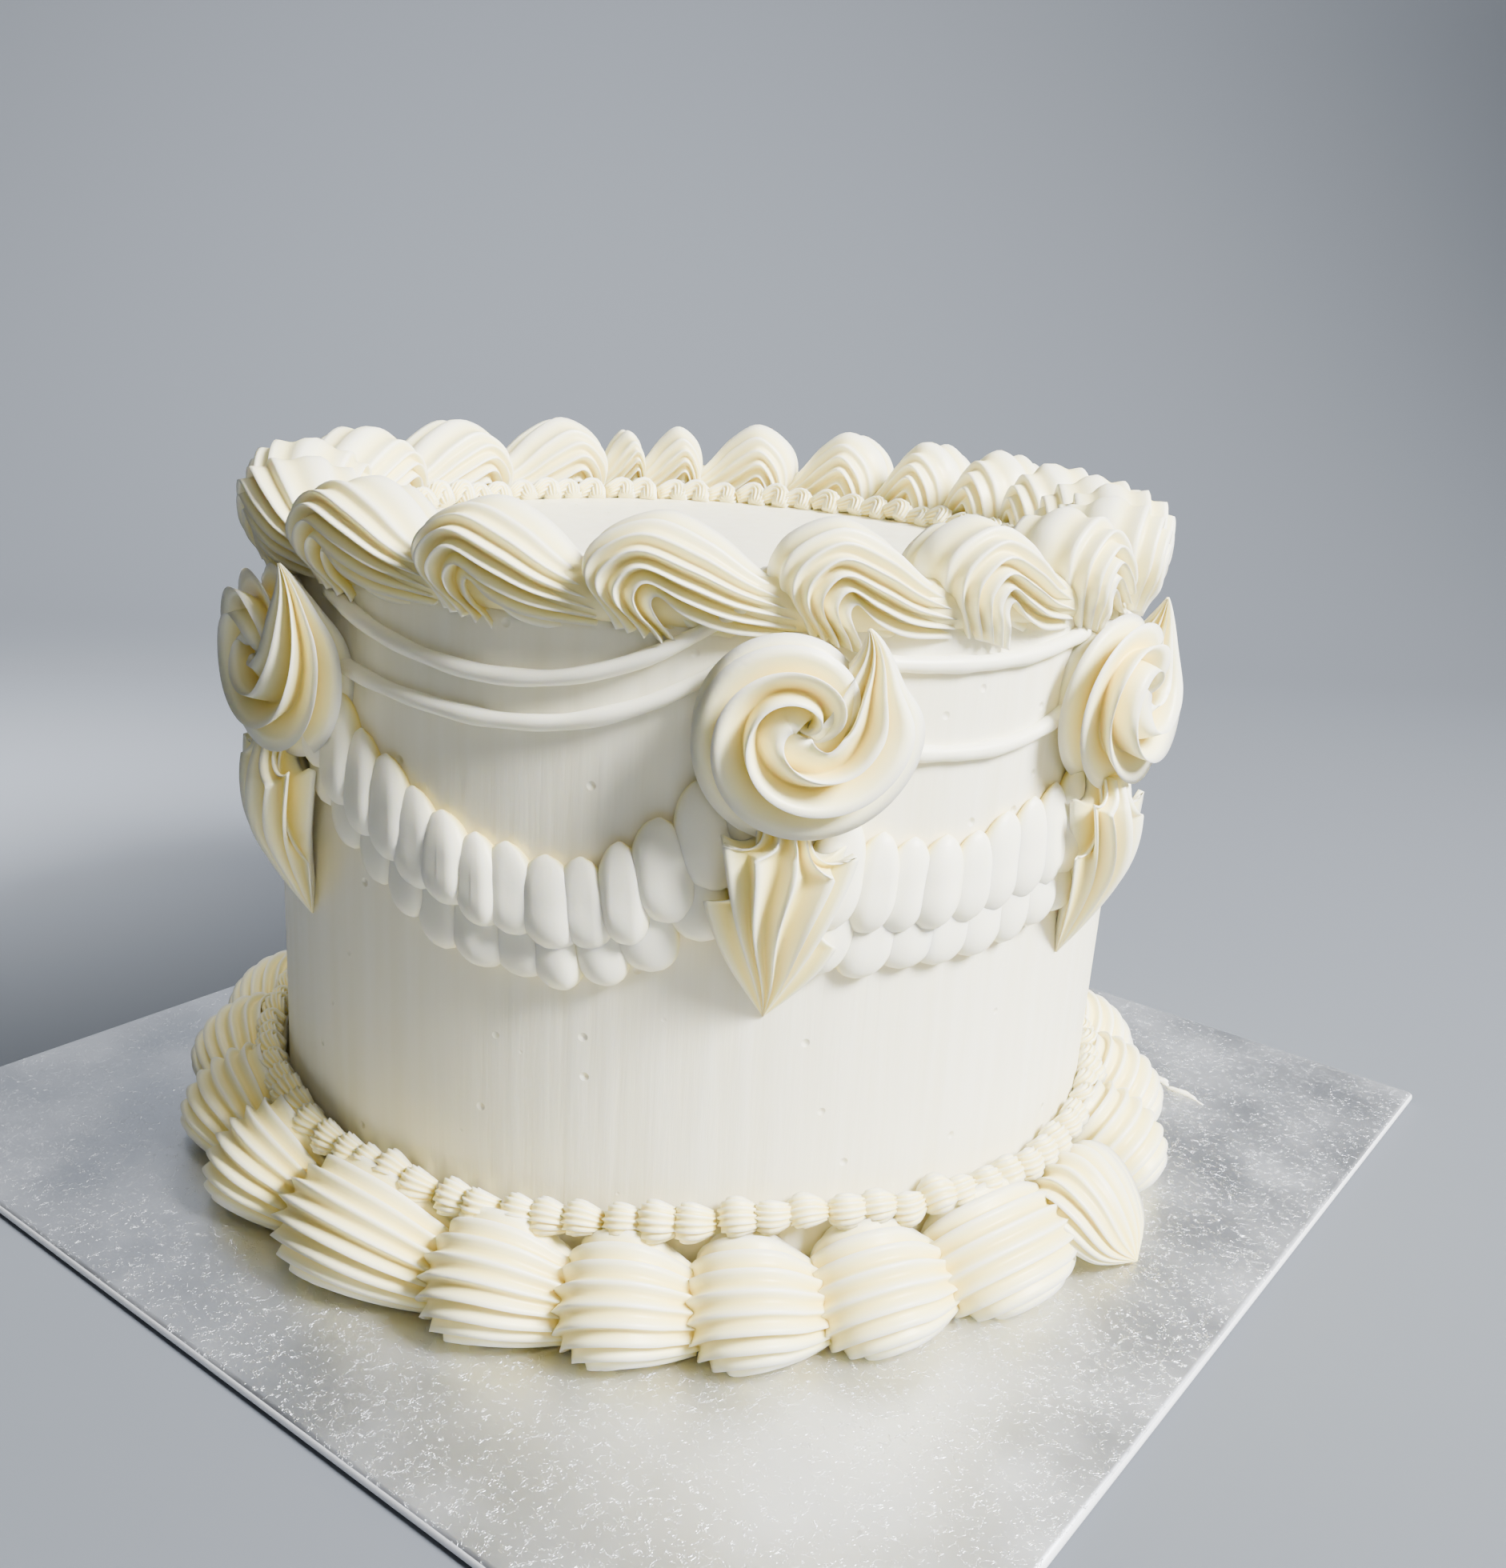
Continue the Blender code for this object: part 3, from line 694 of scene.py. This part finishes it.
def make_drop(number, angle, rng):
    shares = np.linspace(0, 1, 84)[:, None]
    around = circle(DROP_FINS * 8)
    crest = star(around, DROP_FINS, 1.0)
    side = np.sin(around)
    flip = rng.choice((-1, 1)) if number > 1 else 1
    left = flip * side < 0
    upper = np.where(left, leaf(shares, 0.14, 13.5, 1.1), leaf(shares, 0.22, 15.5, 1.1))
    lower = np.where(left, leaf(shares, 0.43, 14.0, 1.2), leaf(shares, 0.64, 12.5, 1.3))
    outer = np.clip((np.abs(side) - 0.90) / 0.08, 0, 1)
    half = (upper * (1 - outer) + lower * outer) * MM
    base = through([6.5, 8.0, 8.0, 7.0, 5.0, 2.5, 0.0], shares[:, 0])[:, None] * MM
    thick = through([5.0, 6.5, 7.0, 6.5, 5.0, 3.0, 0.3], shares[:, 0])[:, None] * MM
    reach = 1 - 0.6 * (1 - crest)
    wave = np.sin(2.3 * math.pi * shares + 0.4 + rng.uniform(-0.3, 0.3))
    sway = 2.0 * MM * wave * (1 - shares) * (1 - side**2)
    across = flip * (sway + half * side * (1 - 0.22 * (1 - crest)))
    out = base + thick * reach * (np.cos(around) + 0.2 * outer)
    lifted = 6 * MM * np.clip((half * np.abs(side) - 6 * MM) / (8 * MM), 0, 1) ** 2
    down = (DROP_TIP - DROP_TOP) * shares + lifted * (1 - shares)
    place = on_side(angle + DROP_TURN, DROP_TOP)
    points = place(np.stack(np.broadcast_arrays(across, down, out), axis=-1))
    # Painted glow and shade: the grooves between the fins get the painted fold yellow
    drop = skin(f"drop_icing_{number}", points, PIPED, 1 - crest)
    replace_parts(drop, f"drop_{number}")


rng = random.Random(5)
for number, angle in enumerate(ROSETTE_ANGLES, 1):
    make_rosette(number, angle, rng)
    make_drop(number, angle, rng)
print("rosettes with drops:", len(ROSETTE_ANGLES))

# %% [markdown]
# ## Swags
#
# A swag is one line of icing from a round nozzle that is moved up and down while it travels, so it
# leaves a row of fingers. There are two rows: the lower one was piped first, and the upper one
# hangs over it.

# %% The two ruffled swags
def finger(name, angle, height, lean, length, width, depth, rng):
    """One upright finger of icing: narrow and shallow at its top, full and round at its foot."""
    shares = np.linspace(0, 1, 22)[:, None]
    around = circle(18)
    top = np.clip((0.40 - shares) / 0.40, 0, 0.995)
    foot = np.clip((shares - 0.58) / 0.42, 0, 0.995)
    swell = (1 - top**2) ** 0.55 * np.sqrt(1 - foot**2) * (0.72 + 0.28 * shares)
    dent = 0.22 * np.exp(-((around - rng.uniform(-0.5, 0.7)) / 0.35) ** 2) * np.sin(math.pi * shares)
    across = lean * (shares - 0.5) + width / 2 * swell * np.sin(around)
    bulge = 1 + rng.uniform(0.05, 0.25) * np.sin(around)
    out = depth * (0.22 + (0.50 + 0.42 * shares) * swell * (1 - dent) * bulge * np.cos(around))
    degrees = angle + np.degrees(across / CAKE_RADIUS)
    points = spot(degrees, CAKE_RADIUS + out, height + (0.5 - shares) * length)
    # Painted shade: the fold value is 0 on the finger's front and grows round its sides to 1 at its
    # back, against the cake
    return skin(name, points, PIPED, 0.65 - np.cos(around))


# The left, low and right heights of each bay's swag, the place of the low point from -1 to 1, and the
# sideways lean of the fingers, in the same order as the strings
LONG_SWAG = (112, 95.5, 112, 0, 1)
SWAGS = [(104, 99.5, 107, -0.4, -3.5)] + [LONG_SWAG] * 4 + [(124, 95, 121, 0.25, 2.5)]
SWAG_ROWS = {
    "lower": {"step": 4.9, "length": 18, "drop": -10.5, "width": 13.8, "depth": 5.2},
    "upper": {"step": 4.15, "length": 20.0, "drop": 0, "width": 13.8, "depth": 7.2},
}


def finger_row(name, middle, half, swag, row, rng):
    """One row of fingers across a bay. They are longest at its ends, where the line climbs."""
    left, low, right, low_place, lean = swag
    fingers = []
    count = round(2 * half / row["step"])
    for i in range(count + 1):
        place = 2 * i / count - 1
        end, reach = (left, 1 + low_place) if place < low_place else (right, 1 - low_place)
        rise = ((place - low_place) / reach) ** 2
        angle = middle + place * half + rng.uniform(-0.3, 0.3)
        height = low + (end - low) * rise + row["drop"] + rng.uniform(-0.8, 0.8)
        length = (row["length"] + 6 * rise) * rng.uniform(0.96, 1.05)
        width = row["width"] * rng.uniform(0.88, 1.12)
        depth = row["depth"] * rng.uniform(0.85, 1.1)
        sizes = (size * MM for size in (height, lean, length, width, depth))
        fingers.append(finger(f"{name}_{i}", angle, *sizes, rng))
    return fingers


def make_swags():
    rng = random.Random(17)
    fingers = []
    for (bay, middle, half), swag in zip(bays(), SWAGS):
        for label, row in SWAG_ROWS.items():
            fingers += finger_row(f"finger_{bay}_{label}", middle, half - 5, swag, row, rng)
    print("fingers of the swags:", len(fingers))
    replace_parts(join("swag_icing", fingers), "swag_garland")


make_swags()

# %% [markdown]
# ## The board
#
# The board is card wrapped in silver foil, which is embossed with short fine strokes. The foil is
# turned over the edge, so the edge is rounded and catches a bright line. The strokes are the contour
# lines of a fine noise, broken up by a second one.

# %% The foil
def make_foil():
    material, nodes, links, shader = new_material("embossed_foil")
    place = add_node(nodes, "ShaderNodeTexCoord")

    def noise(scale, detail, distortion=0.0):
        node = add_node(nodes, "ShaderNodeTexNoise")
        node.inputs["Scale"].default_value = scale
        node.inputs["Detail"].default_value = detail
        node.inputs["Distortion"].default_value = distortion
        links.new(place.outputs["Object"], node.inputs["Vector"])
        return node.outputs["Fac"]

    dark, light = (0, 0, 0, 1), (1, 1, 1, 1)
    lines = ramp(nodes, [(0.47, dark), (0.50, light), (0.53, dark)])
    links.new(noise(750, 1, 1.2), lines.inputs["Fac"])
    broken = ramp(nodes, [(0.50, dark), (0.56, light)])
    links.new(noise(520, 2), broken.inputs["Fac"])
    strokes = add_node(nodes, "ShaderNodeMath", operation="MULTIPLY")
    links.new(lines.outputs["Color"], strokes.inputs[0])
    links.new(broken.outputs["Color"], strokes.inputs[1])
    tone = ramp(nodes, [(0.35, (0.62, 0.64, 0.68, 1)), (0.65, (0.76, 0.78, 0.82, 1))])
    links.new(noise(22, 5), tone.inputs["Fac"])
    links.new(tone.outputs["Color"], shader.inputs["Base Color"])
    rough = ramp(nodes, [(0.35, (0.40, 0.40, 0.40, 1)), (0.65, (0.52, 0.52, 0.52, 1))])
    links.new(noise(35, 3), rough.inputs["Fac"])
    links.new(rough.outputs["Color"], shader.inputs["Roughness"])
    waves = add_bump(nodes, links, noise(9, 2), 0.4, 3 * MM)
    embossed = add_bump(nodes, links, strokes.outputs["Value"], 0.6, 0.12 * MM, waves)
    links.new(embossed, shader.inputs["Normal"])
    shader.inputs["Metallic"].default_value = 1
    return material


def make_edge():
    """Foil that is crinkled round the edge scatters the light, so it looks nearly white."""
    material, nodes, links, shader = new_material("foil_edge")
    shader.inputs["Base Color"].default_value = (0.86, 0.87, 0.89, 1)
    shader.inputs["Metallic"].default_value = 0.2
    shader.inputs["Roughness"].default_value = 0.5
    return material


FOIL, EDGE = make_foil(), make_edge()


def make_board():
    low, high = (Vector(corner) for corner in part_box("board"))
    bpy.ops.mesh.primitive_cube_add(size=1, location=(low + high) / 2)
    board = bpy.context.object
    board.name = "foil_board"
    board.data.transform(Matrix.Diagonal((*(high - low), 1)))
    corners = board.modifiers.new("rounded_corners", "BEVEL")
    corners.width = 1.4 * MM
    corners.segments = 4
    for material in (FOIL, EDGE):
        board.data.materials.append(material)
    for face in board.data.polygons:
        face.material_index = int(abs(face.normal.z) < 0.5)
    board.data.shade_smooth()
    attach(board, "root")
    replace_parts(board, "board")


make_board()
print("board thickness:", round(BOARD_TOP, 4))

# %% A smear of icing that was left on the foil
def make_smear():
    rng = random.Random(3)
    shares = np.linspace(0, 1, 60)
    path = through([(98.1, 138.4), (94.9, 141.0), (92.0, 144.6), (88.6, 151.0)], shares)
    lumps = np.abs(np.sin(9 * shares + 1)) ** 1.5 + 0.3 * np.abs(np.sin(31 * shares))
    thick = 0.25 + 1.5 * lumps * np.sin(math.pi * shares) ** 0.4
    size = thick[:, None] * rng.uniform(0.9, 1.1) * MM
    around = circle(14)
    side = size * np.cos(around) + 0.5 * MM * np.sin(17 * shares)[:, None]
    level = 0.05 * MM + np.maximum(0.6 * size * np.sin(around), 0)
    skin("smear", spot(path[:, :1], path[:, 1:] * MM + side, level), PIPED)


make_smear()

# %% [markdown]
# ## Floor, backdrop and light
#
# The cake stands before one sheet of pale grey paper, which lies flat under it and sweeps up behind
# it, so that no edge shows. One large soft light stands on the right, in front and above. It leaves
# the left side of the cake in a soft shade, and the room gives only a little light there. A third
# light brightens the paper behind the cake. The last one is small and weak, and lifts the cake's
# shadow on the floor.

# %% The paper sweep
def make_backdrop():
    """The paper: flat, then a quarter circle, then upright, from the camera's side to the far one."""
    flat, bend, wall, half_width = 0.6, 0.5, 2.5, 3.5
    turns = np.radians(np.linspace(0, 90, 25))
    profile = [(-3.0, 0.0)] + [(flat + bend * math.sin(t), bend - bend * math.cos(t)) for t in turns]
    profile.append((flat + bend, wall))
    turn = math.radians(FRONT_TURN)
    ahead = np.array([-math.sin(turn), math.cos(turn), 0])
    across = np.array([ahead[1], -ahead[0], 0])
    points = [ahead * distance + across * side + np.array([0, 0, height])
              for distance, height in profile for side in (-half_width, half_width)]
    faces = [(2 * i, 2 * i + 1, 2 * i + 3, 2 * i + 2) for i in range(len(profile) - 1)]
    mesh = bpy.data.meshes.new("paper")
    mesh.from_pydata([tuple(point) for point in points], [], faces)
    mesh.shade_smooth()
    paper = bpy.data.objects.new("paper", mesh)
    bpy.context.scene.collection.objects.link(paper)
    material, nodes, links, shader = new_material("grey_paper")
    shader.inputs["Base Color"].default_value = (0.11, 0.122, 0.142, 1)
    shader.inputs["Roughness"].default_value = 0.85
    mesh.materials.append(material)


make_backdrop()


# %% The soft lights
def soft_light(name, place, aim, size, power, spread, colour=(1, 1, 1)):
    data = bpy.data.lights.new(name, "AREA")
    data.size = size
    data.energy = power
    data.color = colour
    data.spread = math.radians(spread)
    light = bpy.data.objects.new(name, data)
    light.location = place
    light.rotation_euler = Vector(aim - place).to_track_quat("-Z", "Y").to_euler()
    bpy.context.scene.collection.objects.link(light)


cake_middle = spot(0, 0, CAKE_HEIGHT / 2)
soft_light("window", spot(62, 1.6, 1.5), cake_middle, 0.7, 50, 75)
soft_light("room", spot(10, 1.8, 1.2), cake_middle, 1.4, 8, 180, (1.0, 0.99, 0.96))
soft_light("backdrop_light", spot(-160, 0.3, 1.5), spot(-165, 1.2, 1.0), 0.8, 42, 150)
soft_light("floor_light", spot(-122, 0.46, 1.2), spot(-122, 0.38, 0), 0.3, 1.1, 22)
world = bpy.data.worlds.new("room_air")
world.use_nodes = True
world.node_tree.nodes["Background"].inputs["Color"].default_value = (0.74, 0.77, 0.82, 1)
world.node_tree.nodes["Background"].inputs["Strength"].default_value = 0.07
bpy.context.scene.world = world
